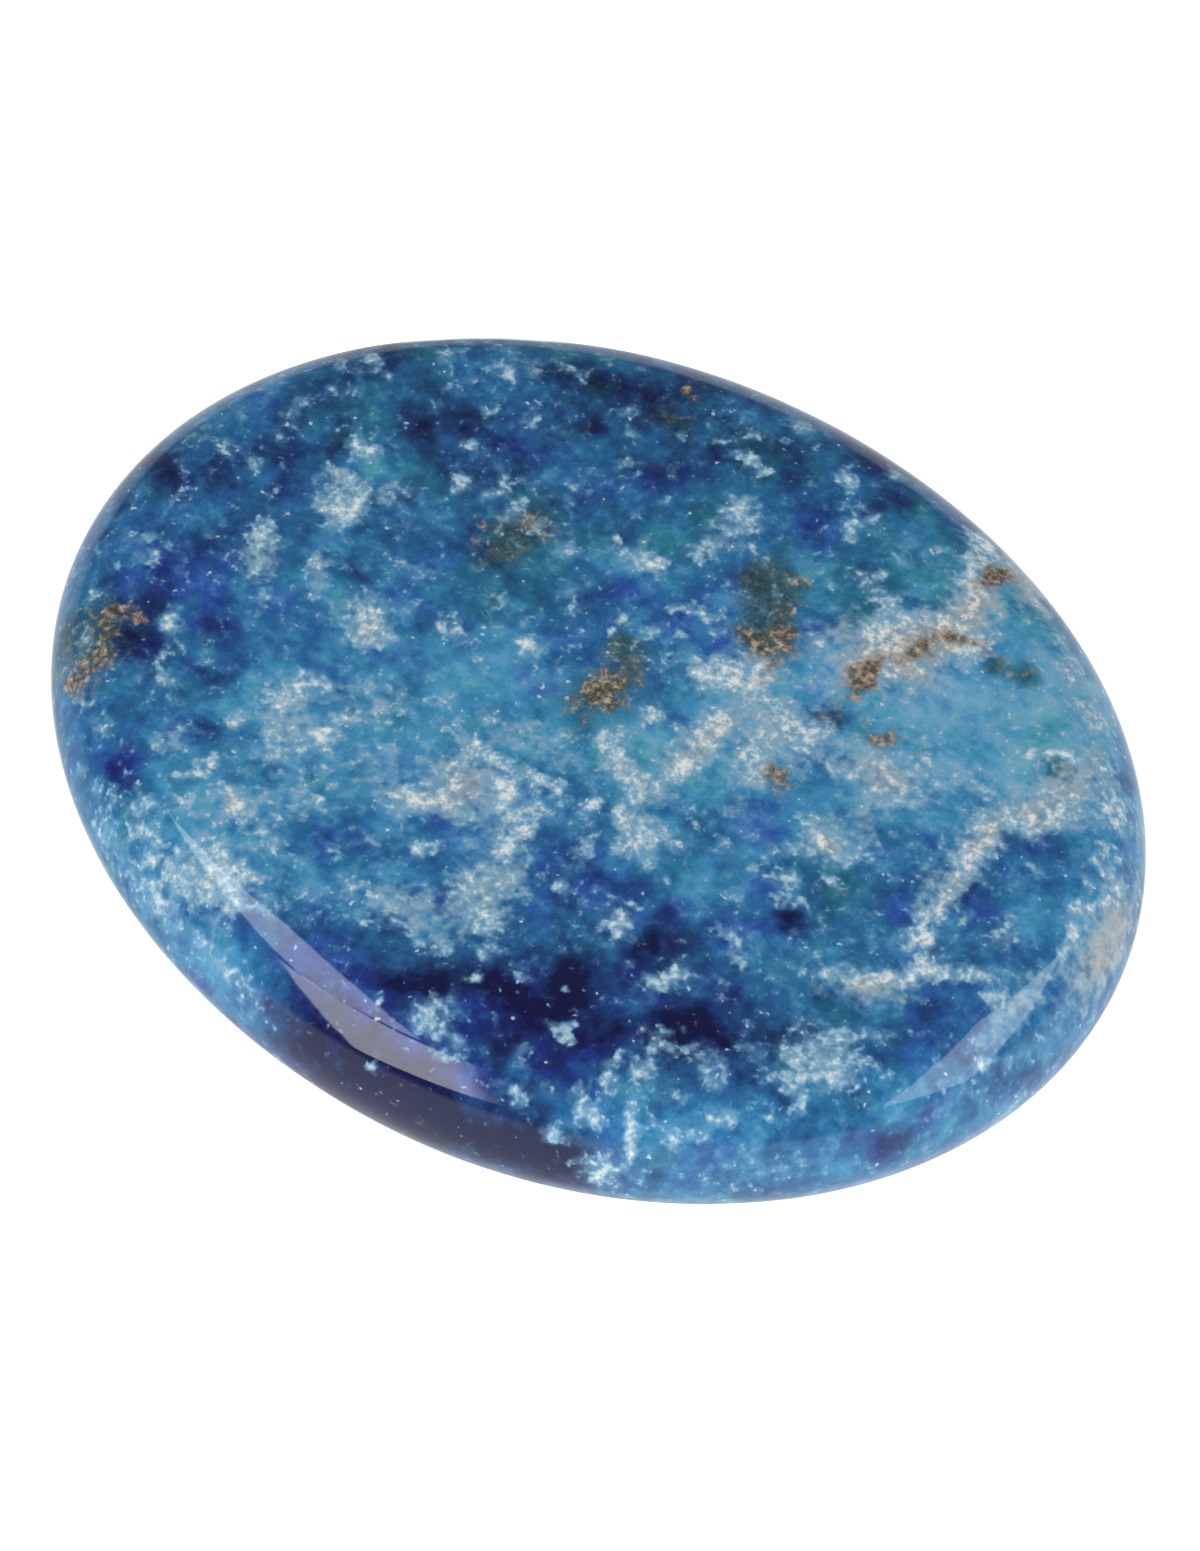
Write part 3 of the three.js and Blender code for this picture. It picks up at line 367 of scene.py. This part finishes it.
# Dull olive round the pyrite: amount
OLIVE = [
    (3.7, 7.2, 1.3, 1.1, 0, 0.7), (8.4, 5.4, 0.8, 0.6, 0, 0.6), (8.3, 1.6, 0.8, 0.7, 0, 0.6),
    (2.6, 8.8, 2.2, 1, -55, 1), (3.2, 10.2, 0.6, 0.5, 0, 0.7), (1.6, 9.6, 1, 0.9, 0, 0.8),
    (-8, 5.4, 1.1, 1.5, 0, 0.8), (-8.3, 3.8, 1, 1, 0, 0.6), (-0.6, 3, 1, 0.8, 0, 0.9),
    (0, 0.4, 1.4, 1.9, 0, 0.75), (-7, 14.4, 1.4, 0.7, 0, 0.5), (-19, -10, 1.4, 2.2, 20, 0.7),
    (-20.5, -10.5, 1, 1.6, 20, 0.6), (17.6, 9.6, 0.8, 0.7, 0, 0.6), (13.4, 12.4, 0.9, 0.6, 0, 0.7),
    (12, 12.2, 0.9, 0.4, -25, 0.6), (-13.6, 12.8, 0.8, 0.5, 0, 0.4),
]

# How the colour fields are laid down, in millimetres
BACK_TURN = 205  # the back has the same kinds of mark, mirrored and turned by this many degrees
BACK_BLEND = 1.4  # how far below the girth the marks of the back start
SPREAD = 1.28  # how much wider a clump or vein is than its solid middle
SOFTNESS = 0.7  # how fast a mark fades outwards
PATCH_DEPTH = 0.85
TONE_LEVEL = 0.41
CALCITE_IN_LIGHT = 0.55  # how much more calcite the lighter blue holds

# Layers of seeded clouds: width of a lump in millimetres, amount
EDGE_CLOUDS = [(1.1, 0.35), (0.3, 0.12)]  # these make the edges of the marks stray
TONE_CLOUDS = [(3.2, 0.12), (1.1, 0.12)]
HUE_CLOUDS = [(3.5, 0.5), (1.1, 0.5)]
SCATTER_CLOUDS = [(2.6, 0.2), (0.8, 0.25)]
POLISH_CLOUDS = [(4, 1)]
SEED_SHIFT = Vector((17.3, 41.7, 8.9))  # from one seed's clouds to the next
LAYER_SHIFT = 0.37  # how much of that lies between two layers
CLOUD_DETAIL = (1.0, 2.0, 4)  # smoothness, step from one octave to the next, octaves

# Noise of the material: width of a grain in millimetres
CRUMB_SIZE = 0.55
FLECK_SIZE = 0.36
SPECK_SIZE = 0.3
PIN_SIZE = 0.28
GRAIN_SIZE = 0.16

# Where each layer of the material starts, where it is whole, and how much it then covers
OLIVE_COVER = (0.15, 0.85, 0.85)
MIST_COVER = (-0.05, 0.85, 0.7)
MILK_COVER = (0.15, 1, 0.8)
PIN_COVER = (0.78, 0.9, 0.75)
CALCITE_COVER = (0.28, 0.95, 0.96)
PYRITE_COVER = (0.15, 0.85, 0.9)
METAL_COVER = (0.65, 0.85, 0.3)
WARM_HAZE = (0.45, 1.1)
CALCITE_SHADES = (0.3, 1.85)
OLIVE_BROWN = (0.3, 0.8)

# Colours from shade to light, by their place on the ramp
BLUE_STOPS = (0, 0.2, 0.38, 0.55, 0.72, 1)
AZURE = dict(zip(BLUE_STOPS, ("#101a46", "#1f4172", "#2b6d9f", "#4594be", "#6eadcd", "#a6cbdc")))
ROYAL = dict(zip(BLUE_STOPS, ("#131444", "#1e347c", "#2d59a6", "#4b82be", "#769dca", "#a9c3dc")))
TEAL = dict(zip(BLUE_STOPS, ("#14242f", "#1c4c65", "#2a728c", "#4196a8", "#6cb1bb", "#a8cfd2")))
OLIVE_GREEN = {0: "#15242b", 0.5: "#385453", 1: "#6c7f70"}
MIST = "#75a9ca"
MILK = {0: "#6598b7", 0.4: "#8aafc3", 0.6: "#a8bec9", 1: "#ccd6d9"}
WARM_MILK = {0: "#7a939f", 0.4: "#9ca9ad", 0.6: "#b7bab6", 1: "#d8d5cd"}
CALCITE = {0: "#6b9fc3", 0.3: "#8db6ce", 0.6: "#b1cbd8", 1: "#eaf2f5"}
WARM_CALCITE = {0: "#889ca6", 0.3: "#a4afb2", 0.6: "#c2c4c1", 1: "#edebe5"}
RUST = {0: "#38332d", 0.3: "#53493e", 0.5: "#76624e", 0.7: "#a18868", 1: "#ddd0ba"}
OLIVE_RUST = {0: "#31352f", 0.3: "#49493e", 0.5: "#6a6450", 0.7: "#968a6d", 1: "#dbd4c0"}

# Gloss
STONE_IOR = 1.43
POLISH_ROUGHNESS = 0.05
CALCITE_ROUGHNESS = 0.08  # how much rougher the white calcite is

# Floor, in metres
FLOOR_SIZE = 6
FLOOR_DROP = 0.00002
FLOOR_SHADE = 0.22
FLOOR_ROUGHNESS = 0.9
FLOOR_GLOW = 0.95  # a lit table, so that the shadow stays faint

# Softboxes, in degrees and metres: turn, rise, roll, width, height, and brightness,
# where a white floor in full light is 1
SOFTBOX_DISTANCE = 0.45
SOFTBOXES = {
    "softbox_front": (-15.8, 40.1, 28.9, 0.181, 0.277, 6.6),
    "softbox_left": (-56.3, 58.2, -10.5, 0.212, 0.1, 5.0),
    "softbox_right": (106.0, 39.0, -55.8, 0.19, 0.4, 3.8),
}
FADING_SOFTBOX = "softbox_front"
SOFTBOX_FADE = (0.7, 1)  # how far along it the light starts to fade, and where it is gone

# The studio round the stone: brightness by the direction of a ray of length 1
WORLD_GLOW = 0.16
SWEEP_SIDE = (0.77, -0.64)  # which way the lit sweep lies, in plan
SWEEP_EDGE = (-0.35, 0.15)  # where it starts and is whole, along that way
SWEEP_GLOW = (0.6, 1.12)  # away from it and on it
SWEEP_RISE = 0.27  # how far the sweep reaches up
HORIZON = (-0.07, 0.07)  # where the low light ends upwards
GLINT_SIDE = (-0.63, 0.777)  # which way a bright strip lies that the far left rim mirrors
GLINT_WIDTH = (0.03, 0.065)  # half width of its middle and of all of it
GLINT_TOP = (-0.42, -0.28)  # where it fades out upwards
GLINT_START = (0.2, 0.3)  # how far out behind the stone it starts and is whole
GLINT_GLOW = 2.2


def wave_sum(waves, angle):
    return sum(size * np.cos(count * (angle - math.radians(crest))) for count, size, crest in waves)


def rim_radius(angle):
    oval = 1 / np.hypot(np.cos(angle) / (LENGTH / 2), np.sin(angle) / (WIDTH / 2))
    return oval + wave_sum(OUTLINE_WAVES, angle)


def shoulder_width(angle):
    return SHOULDER + wave_sum(SHOULDER_WAVES, angle)


def girth_height(angle):
    return GIRTH_HEIGHT + wave_sum(GIRTH_WAVES, angle)


def crown(angle, out):
    return CROWN * (1 - (out / rim_radius(angle)) ** 2)


def quarter_arc(width, height, start, steps=24):
    """Length of an elliptical quarter from `start` to a right angle, in the width's and height's unit."""
    turn = start + (math.pi / 2 - start) * (np.arange(steps)[:, None] + 0.5) / steps
    return np.hypot(width * np.sin(turn), height * np.cos(turn)).mean(axis=0) * (math.pi / 2 - start)


def along_edge(angle, turn):
    """Distance over the surface from the top's middle to a point on the shoulder's round."""
    flat = rim_radius(angle) - shoulder_width(angle)
    rise = SHOULDER_HEIGHT - girth_height(angle)
    return flat + quarter_arc(shoulder_width(angle), rise, turn)


def along_heel(angle, turn):
    """The same for a point on the round between the girth and the back."""
    full = quarter_arc(HEEL, girth_height(angle), 0)
    left = quarter_arc(HEEL, girth_height(angle), turn)
    return along_edge(angle, 0) + full - left


def along_whole(angle):
    """The same for the back's middle."""
    return along_heel(angle, math.pi / 2) + rim_radius(angle) - HEEL


def ring_angles(count):
    return np.arange(count) * 2 * math.pi / count


def ring(angle, out, height, along):
    """One ring round the stone: its points, and their distance from the top's middle and angle."""
    return np.stack([out * np.cos(angle), out * np.sin(angle), height], axis=1), along, angle


def halved(count, share):
    """Fewer points on the small rings: half as many each time the ring is half as wide."""
    while share < 0.5 and count % 2 == 0:
        count //= 2
        share *= 2
    return count


def back_rings():
    for share in np.arange(1, BACK_RINGS + 1) / BACK_RINGS:
        angle = ring_angles(halved(BACK_SEGMENTS, share))
        out = (rim_radius(angle) - HEEL) * share
        yield ring(angle, out, 0 * angle, along_whole(angle) - out)


def heel_rings():
    angle = ring_angles(RIM_SEGMENTS)
    for turn in (1 - np.arange(1, EDGE_RINGS) / EDGE_RINGS) * math.pi / 2:
        out = rim_radius(angle) - HEEL * (1 - math.cos(turn))
        height = girth_height(angle) * (1 - math.sin(turn))
        yield ring(angle, out, height, along_heel(angle, turn))


def shoulder_rings():
    angle = ring_angles(RIM_SEGMENTS)
    for turn in np.arange(EDGE_RINGS + 1) / EDGE_RINGS * math.pi / 2:
        out = rim_radius(angle) - shoulder_width(angle) * (1 - math.cos(turn))
        rise = (SHOULDER_HEIGHT - girth_height(angle)) * math.sin(turn)
        height = girth_height(angle) + rise + crown(angle, out)
        yield ring(angle, out, height, along_edge(angle, turn))


def top_rings():
    for share in 1 - np.arange(1, TOP_RINGS) / TOP_RINGS:
        angle = ring_angles(halved(RIM_SEGMENTS, share))
        out = (rim_radius(angle) - shoulder_width(angle)) * share
        yield ring(angle, out, SHOULDER_HEIGHT + crown(angle, out), out)


def bridge(lower, upper):
    """Triangles between two rings, facing out, where one may have twice the points of the other."""
    faces = []
    if len(lower) == len(upper):
        for i in range(len(lower)):
            j = (i + 1) % len(lower)
            faces += [(lower[i], lower[j], upper[j]), (lower[i], upper[j], upper[i])]
        return faces
    fine, coarse = (lower, upper) if len(lower) > len(upper) else (upper, lower)
    for i in range(len(coarse)):
        j = (i + 1) % len(coarse)
        a, b, c = fine[2 * i], fine[2 * i + 1], fine[2 * j]
        fan = [(a, b, coarse[i]), (b, coarse[j], coarse[i]), (b, c, coarse[j])]
        faces += fan if fine is lower else [face[::-1] for face in fan]
    return faces


def cap(ring, pole, upward):
    faces = [(ring[i], ring[(i + 1) % len(ring)], pole) for i in range(len(ring))]
    return faces if upward else [face[::-1] for face in faces]


def surface():
    """The points and faces, and each point's distance from the top's middle and angle."""
    rings = [*back_rings(), *heel_rings(), *shoulder_rings(), *top_rings()]
    points, along, angle = (np.concatenate(parts) for parts in zip(*rings))
    count = len(points)
    ends = np.cumsum([len(places) for places, _, _ in rings])
    numbers = np.split(np.arange(count), ends[:-1])
    faces = cap(numbers[0], count, upward=False)
    for lower, upper in zip(numbers, numbers[1:]):
        faces += bridge(lower, upper)
    faces += cap(numbers[-1], count + 1, upward=True)
    points = np.vstack([points, [0, 0, 0], [0, 0, THICKNESS]])
    pole = np.zeros(1)
    along = np.concatenate([along, along_whole(pole), pole])
    angle = np.concatenate([angle, pole, pole])
    return points, faces, along, angle


def clouds(points, layers, seed):
    """Seeded fractal noise at each point."""
    total = np.zeros(len(points))
    for number, (size, amount) in enumerate(layers):
        offset = SEED_SHIFT * (seed + LAYER_SHIFT * number)
        lumps = [noise.fractal(Vector(point) / size + offset, *CLOUD_DETAIL) for point in points]
        total += amount * np.array(lumps)
    return total


def placed(points):
    """Dips the surface by the hand polish, and centres it over the origin as the solid is."""
    dip = HAND_POLISH * (0.5 + 0.5 * clouds(points, POLISH_CLOUDS, seed=6)).clip(0, 1)
    inward = np.array([0, 0, THICKNESS / 2]) - points
    inward[:, 2] *= 2  # the dips go down more than in
    inward /= np.linalg.norm(inward, axis=1)[:, None]
    moved = points + inward * dip[:, None]
    moved[:, 2] = np.where(points[:, 2] < FLAT_BACK, 0, moved[:, 2])
    low, high = points.min(axis=0), points.max(axis=0)
    moved[:, :2] -= (low[:2] + high[:2]) / 2
    return moved


def on_chart(x, y):
    """A mark's place in plan, spread flat over the top: the edge's round is rolled out."""
    angle = np.arctan2(y, x)
    out = np.hypot(x, y)
    inset = (rim_radius(angle) - out) / shoulder_width(angle)
    if inset >= 1:
        return np.array([x, y])
    along = along_edge(angle, np.arccos(1 - max(inset, 0)))
    return np.array([math.cos(angle), math.sin(angle)]) * float(along)


def ellipse(chart, x, y, half_length, half_width, turn):
    """1 inside a soft-edged ellipse, 0.5 on its line and 0 well outside."""
    offset = chart - on_chart(x, y)
    turn = math.radians(turn)
    lengthwise = (offset[:, 0] * math.cos(turn) + offset[:, 1] * math.sin(turn)) / half_length
    across = (offset[:, 1] * math.cos(turn) - offset[:, 0] * math.sin(turn)) / half_width
    return np.exp(-SOFTNESS * (lengthwise**2 + across**2))


def vein(chart, path, half_width):
    """The same for a band along a path."""
    nearest = np.full(len(chart), np.inf)
    places = [on_chart(x, y) for x, y in path]
    for start, end in zip(places, places[1:]):
        run = end - start
        share = np.clip(((chart - start) @ run) / (run @ run), 0, 1)
        nearest = np.minimum(nearest, np.hypot(*(chart - start - share[:, None] * run).T))
    return np.exp(-SOFTNESS * (nearest / half_width) ** 2)


def spots(chart, marks, spread=1):
    """Every ellipse of a list, at its amount."""
    return [
        ellipse(chart, x, y, half_length * spread, half_width * spread, turn) * amount
        for x, y, half_length, half_width, turn, amount in marks
    ]


def covered(layers):
    """Several covers laid over each other, as a share from 0 to 1."""
    bare = 1
    for layer in layers:
        bare = bare * (1 - np.clip(layer, 0, 1))
    return 1 - bare


def painted(chart):
    """The listed marks at each point of a chart, by attribute name."""
    patches = [(ellipse(chart, *mark[:5]), mark[5] * PATCH_DEPTH, mark[6]) for mark in PATCHES]
    veins = [vein(chart, path, half_width * SPREAD) * amount for path, half_width, amount in VEINS]
    return {
        "tone": sum(shape * tone for shape, tone, hue in patches),
        "hue": sum(shape * hue for shape, tone, hue in patches),
        "calcite": covered(spots(chart, CLUMPS, SPREAD) + veins),
        "haze": covered(spots(chart, HAZES)),
        "pyrite": covered(spots(chart, PYRITE, SPREAD)),
        "olive": covered(spots(chart, OLIVE)),
    }


def mirrored(chart):
    """The back's chart, turned over and round."""
    turn = math.radians(BACK_TURN)
    x, y = -chart[:, 0], chart[:, 1]
    turned_x = x * math.cos(turn) - y * math.sin(turn)
    turned_y = x * math.sin(turn) + y * math.cos(turn)
    return np.stack([turned_x, turned_y], axis=1)


def fields(points, along, angle):
    """The colour fields at each point of the surface: marks and clouds together."""
    stray = np.stack([clouds(points, EDGE_CLOUDS, seed) for seed in (1, 2)], axis=1)
    around = np.stack([np.cos(angle), np.sin(angle)], axis=1)
    top = painted(along[:, None] * around + stray)
    from_back = (along_whole(angle) - along)[:, None] * around
    back = painted(mirrored(from_back) + stray)
    edge = along_edge(angle, 0) + BACK_BLEND
    share = np.clip((along - edge) / BACK_BLEND + 0.5, 0, 1)
    share = share * share * (3 - 2 * share)
    mixed = {name: top[name] * (1 - share) + back[name] * share for name in top}
    mixed["tone"] += TONE_LEVEL + clouds(points, TONE_CLOUDS, seed=3)
    mixed["hue"] += clouds(points, HUE_CLOUDS, seed=4)
    lighter = (mixed["tone"] - TONE_LEVEL) * CALCITE_IN_LIGHT
    mixed["calcite"] += clouds(points, SCATTER_CLOUDS, seed=5) + lighter
    return mixed


def add_object(name, data):
    made = bpy.data.objects.new(name, data)
    bpy.context.scene.collection.objects.link(made)
    return made


def make_stone():
    points, faces, along, angle = surface()
    mesh = bpy.data.meshes.new("stone")
    mesh.from_pydata(placed(points) * MM, [], faces)
    mesh.shade_smooth()
    for name, values in fields(points, along, angle).items():
        attribute = mesh.attributes.new(name, "FLOAT", "POINT")
        attribute.data.foreach_set("value", values.astype(np.float32))
    return add_object("stone", mesh)


def linear(code):
    """A colour written #rrggbb, as the linear values that a shader takes."""
    values = [int(code[i:i + 2], 16) / 255 for i in (1, 3, 5)]
    return [v / 12.92 if v <= 0.04045 else ((v + 0.055) / 1.055) ** 2.4 for v in values] + [1]


class Tree:
    """The nodes of a material, light or world, with one short call for each kind."""

    def __init__(self, owner):
        owner.use_nodes = True
        self.nodes = owner.node_tree.nodes
        self.links = owner.node_tree.links

    def feed(self, socket, value):
        if isinstance(value, bpy.types.NodeSocket):
            self.links.new(value, socket)
        else:
            socket.default_value = value

    def node(self, kind, sockets=None, **settings):
        made = self.nodes.new("ShaderNode" + kind)
        for name, value in settings.items():
            setattr(made, name, value)
        for name, value in (sockets or {}).items():
            self.feed(made.inputs[name], value)
        return made

    def attribute(self, name):
        return self.node("Attribute", attribute_name=name).outputs["Fac"]

    def maths(self, operation, *values):
        return self.node("Math", dict(enumerate(values)), operation=operation).outputs[0]

    def times(self, a, b):
        return self.maths("MULTIPLY", a, b)

    def plus(self, a, b):
        return self.maths("ADD", a, b)

    def greater(self, a, b):
        return self.maths("MAXIMUM", a, b)

    def sum(self, value, *terms):
        """value plus each (input, amount) term, where an input from 0 to 1 counts from its middle."""
        for source, amount in terms:
            value = self.plus(self.maths("MULTIPLY_ADD", source, amount, -amount / 2), value)
        return value

    def step(self, value, low, high, end=1, start=0):
        """Goes softly from start to end while the value goes from low to high."""
        sockets = {"Value": value, "From Min": low, "From Max": high, "To Min": start, "To Max": end}
        return self.node("MapRange", sockets, interpolation_type="SMOOTHSTEP").outputs["Result"]

    def scaled(self, vector, scale):
        return self.node("VectorMath", {0: vector, "Scale": scale}, operation="SCALE").outputs[0]

    def split(self, vector):
        return self.node("SeparateXYZ", {0: vector}).outputs

    def noise(self, place, size, detail, roughness=0.55):
        sockets = {"Vector": place, "Scale": 1 / size, "Detail": detail, "Roughness": roughness}
        return self.node("TexNoise", sockets).outputs["Fac"]

    def ramp(self, value, stops):
        made = self.node("ValToRGB", {0: value})
        elements = made.color_ramp.elements
        while len(elements) < len(stops):
            elements.new(1)
        for element, (place, code) in zip(elements, stops.items()):
            element.position = place
            element.color = linear(code)
        return made.outputs["Color"]

    def mix(self, share, a, b):
        return self.node("Mix", {0: share, 6: a, 7: b}, data_type="RGBA").outputs[2]

    def shade(self, sockets):
        """Ends the tree in one shader with these values on its sockets."""
        shader = self.node("BsdfPrincipled", sockets)
        self.node("OutputMaterial", {"Surface": shader.outputs["BSDF"]})


def new_material(name):
    material = bpy.data.materials.new(name)
    tree = Tree(material)
    tree.nodes.clear()
    return material, tree


def blue_body(tree, crumb, grain):
    """The lazurite: azure, with royal blue and teal fields, and olive round the pyrite."""
    tone = tree.sum(tree.attribute("tone"), (crumb, 0.3), (grain, 0.12))
    hue = tree.attribute("hue")
    blue = tree.ramp(tone, AZURE)
    blue = tree.mix(tree.step(tree.times(hue, -1), 0, 1), blue, tree.ramp(tone, ROYAL))
    blue = tree.mix(tree.step(hue, 0, 1), blue, tree.ramp(tone, TEAL))
    olive = tree.step(tree.sum(tree.attribute("olive"), (crumb, 0.8)), *OLIVE_COVER)
    return tree.mix(olive, blue, tree.ramp(tree.sum(crumb, (grain, 0.8)), OLIVE_GREEN))


def milk(tree, colour, calcite, haze, warmth, crumb, fleck, grain):
    """Calcite below the polish: a blue mist, and a greyer milk round the clumps and veins."""
    mist = tree.step(tree.sum(calcite, (crumb, 1)), *MIST_COVER)
    colour = tree.mix(mist, colour, linear(MIST))
    depth = tree.sum(tree.plus(haze, tree.times(calcite, 0.3)), (crumb, 1.1))
    shade = tree.sum(crumb, (fleck, 0.8), (grain, 0.3))
    milky = tree.mix(warmth, tree.ramp(shade, MILK), tree.ramp(shade, WARM_MILK))
    return tree.mix(tree.step(depth, *MILK_COVER), colour, milky)


def white_calcite(tree, place, colour, crumb, grain):
    """Flecks that crowd together in the clumps and veins, with fine pins between them, over milk."""
    calcite = tree.attribute("calcite")
    haze = tree.attribute("haze")
    warmth = tree.step(haze, *WARM_HAZE)
    fleck = tree.noise(place, FLECK_SIZE, detail=1, roughness=0.5)
    colour = milk(tree, colour, calcite, haze, warmth, crumb, fleck, grain)
    white = tree.sum(tree.times(calcite, 1.25), (crumb, 1.2), (fleck, 2.4), (grain, 0.4))
    pin = tree.plus(tree.noise(place, PIN_SIZE, detail=0), tree.times(calcite, 0.1))
    pins = tree.step(tree.sum(pin, (crumb, 0.5)), *PIN_COVER)
    cover = tree.greater(tree.step(white, *CALCITE_COVER), pins)
    shade = tree.greater(tree.step(tree.sum(white, (grain, 0.8)), *CALCITE_SHADES), pins)
    white_colour = tree.mix(warmth, tree.ramp(shade, CALCITE), tree.ramp(shade, WARM_CALCITE))
    return tree.mix(cover, colour, white_colour), cover


def brown_pyrite(tree, place, colour, crumb):
    """Fine brown and golden grains in the calcite."""
    speck = tree.noise(place, SPECK_SIZE, detail=2, roughness=0.6)
    amount = tree.sum(tree.attribute("pyrite"), (crumb, 1.3), (speck, 0.5))
    cover = tree.step(amount, *PYRITE_COVER)
    shade = tree.sum(speck, (speck, 1.5))
    olive = tree.step(tree.attribute("olive"), *OLIVE_BROWN)
    brown = tree.mix(olive, tree.ramp(shade, RUST), tree.ramp(shade, OLIVE_RUST))
    return tree.mix(cover, colour, brown), cover, shade


def lapis_material():
    material, tree = new_material("polished_lapis")
    place = tree.scaled(tree.node("TexCoord").outputs["Object"], 1 / MM)
    crumb = tree.noise(place, CRUMB_SIZE, detail=2)
    grain = tree.noise(place, GRAIN_SIZE, detail=1)
    colour = blue_body(tree, crumb, grain)
    colour, white = white_calcite(tree, place, colour, crumb, grain)
    colour, brown, shade = brown_pyrite(tree, place, colour, crumb)
    tree.shade({
        "IOR": STONE_IOR,
        "Base Color": colour,
        "Roughness": tree.plus(tree.times(white, CALCITE_ROUGHNESS), POLISH_ROUGHNESS),
        "Metallic": tree.times(brown, tree.step(shade, *METAL_COVER)),
    })
    return material


def floor_material():
    material, tree = new_material("pale_floor")
    tree.shade({
        "Base Color": (FLOOR_SHADE, FLOOR_SHADE, FLOOR_SHADE, 1),
        "Roughness": FLOOR_ROUGHNESS,
        "Specular IOR Level": 0,
        "Emission Color": (1, 1, 1, 1),
        "Emission Strength": FLOOR_GLOW,
    })
    return material


def make_floor():
    half = FLOOR_SIZE / 2
    corners = [(x * half, y * half, -FLOOR_DROP) for x, y in ((-1, -1), (1, -1), (1, 1), (-1, 1))]
    mesh = bpy.data.meshes.new("floor")
    mesh.from_pydata(corners, [], [(0, 1, 2, 3)])
    mesh.materials.append(floor_material())
    floor = add_object("floor", mesh)
    floor.visible_glossy = False  # the gloss mirrors the studio instead


def aim(thing, turn, rise, distance):
    """Puts a camera or light out from the stone, `turn` degrees round from -Y, looking back at it."""
    turn, rise = math.radians(turn), math.radians(rise)
    way = Vector((math.sin(turn) * math.cos(rise), -math.cos(turn) * math.cos(rise), math.sin(rise)))
    thing.location = AIM + way * distance
    thing.rotation_euler = (AIM - thing.location).to_track_quat("-Z", "Y").to_euler()


def make_camera():
    lens = bpy.data.cameras.new("camera")
    lens.lens = LENS
    lens.sensor_width = SENSOR
    lens.clip_start = CLIP_START
    camera = add_object("camera", lens)
    aim(camera, CAMERA_TURN, CAMERA_RISE, CAMERA_DISTANCE)
    bpy.context.scene.camera = camera


def fade_light(light):
    """Lets the softbox grow dim towards its end on the right."""
    tree = Tree(light)
    along = tree.split(tree.node("NewGeometry").outputs["Parametric"])["X"]
    tree.feed(tree.nodes["Emission"].inputs["Strength"], tree.step(along, *SOFTBOX_FADE, end=0, start=1))


def make_softboxes():
    for name, (turn, rise, roll, width, height, brightness) in SOFTBOXES.items():
        light = bpy.data.lights.new(name, "AREA")
        light.shape = "RECTANGLE"
        light.size = width
        light.size_y = height
        light.energy = brightness * math.pi * width * height
        softbox = add_object(name, light)
        aim(softbox, turn, rise, SOFTBOX_DISTANCE)
        rolled = softbox.rotation_euler.to_quaternion() @ Quaternion((0, 0, 1), math.radians(roll))
        softbox.rotation_euler = rolled.to_euler()
        if name == FADING_SOFTBOX:
            fade_light(light)


def sweep_light(tree, x, y, z):
    """A lit sweep low down, which is brighter and reaches higher on one side."""
    sideways = tree.maths("MULTIPLY_ADD", y, SWEEP_SIDE[1], tree.times(x, SWEEP_SIDE[0]))
    sweep = tree.step(sideways, *SWEEP_EDGE)
    height = tree.maths("MULTIPLY_ADD", sweep, -SWEEP_RISE, z)
    glow = tree.maths("MULTIPLY_ADD", sweep, SWEEP_GLOW[1] - SWEEP_GLOW[0], SWEEP_GLOW[0])
    low = tree.step(height, *HORIZON, end=0, start=1)
    return tree.maths("MULTIPLY_ADD", low, glow, WORLD_GLOW)


def glint_light(tree, x, y, z):
    """An upright bright strip behind the stone, from 0 to 1."""
    across = tree.maths("MULTIPLY_ADD", y, -GLINT_SIDE[0], tree.times(x, GLINT_SIDE[1]))
    strip = tree.step(tree.maths("ABSOLUTE", across), *GLINT_WIDTH, end=0, start=1)
    strip = tree.times(strip, tree.step(z, *GLINT_TOP, end=0, start=1))
    return tree.times(strip, tree.step(y, *GLINT_START))


def make_world():
    world = bpy.data.worlds.new("studio")
    bpy.context.scene.world = world
    tree = Tree(world)
    ray = tree.split(tree.node("TexCoord").outputs["Generated"])
    glint = glint_light(tree, *ray)
    background = tree.nodes["Background"]
    background.inputs["Color"].default_value = (1, 1, 1, 1)
    strength = tree.maths("MULTIPLY_ADD", glint, GLINT_GLOW, sweep_light(tree, *ray))
    tree.feed(background.inputs["Strength"], strength)


make_camera()
stone = make_stone()
stone.data.materials.append(lapis_material())
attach(stone, "root")
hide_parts("lapis_stone")
make_floor()
make_softboxes()
make_world()
bpy.context.scene.view_settings.view_transform = "Standard"
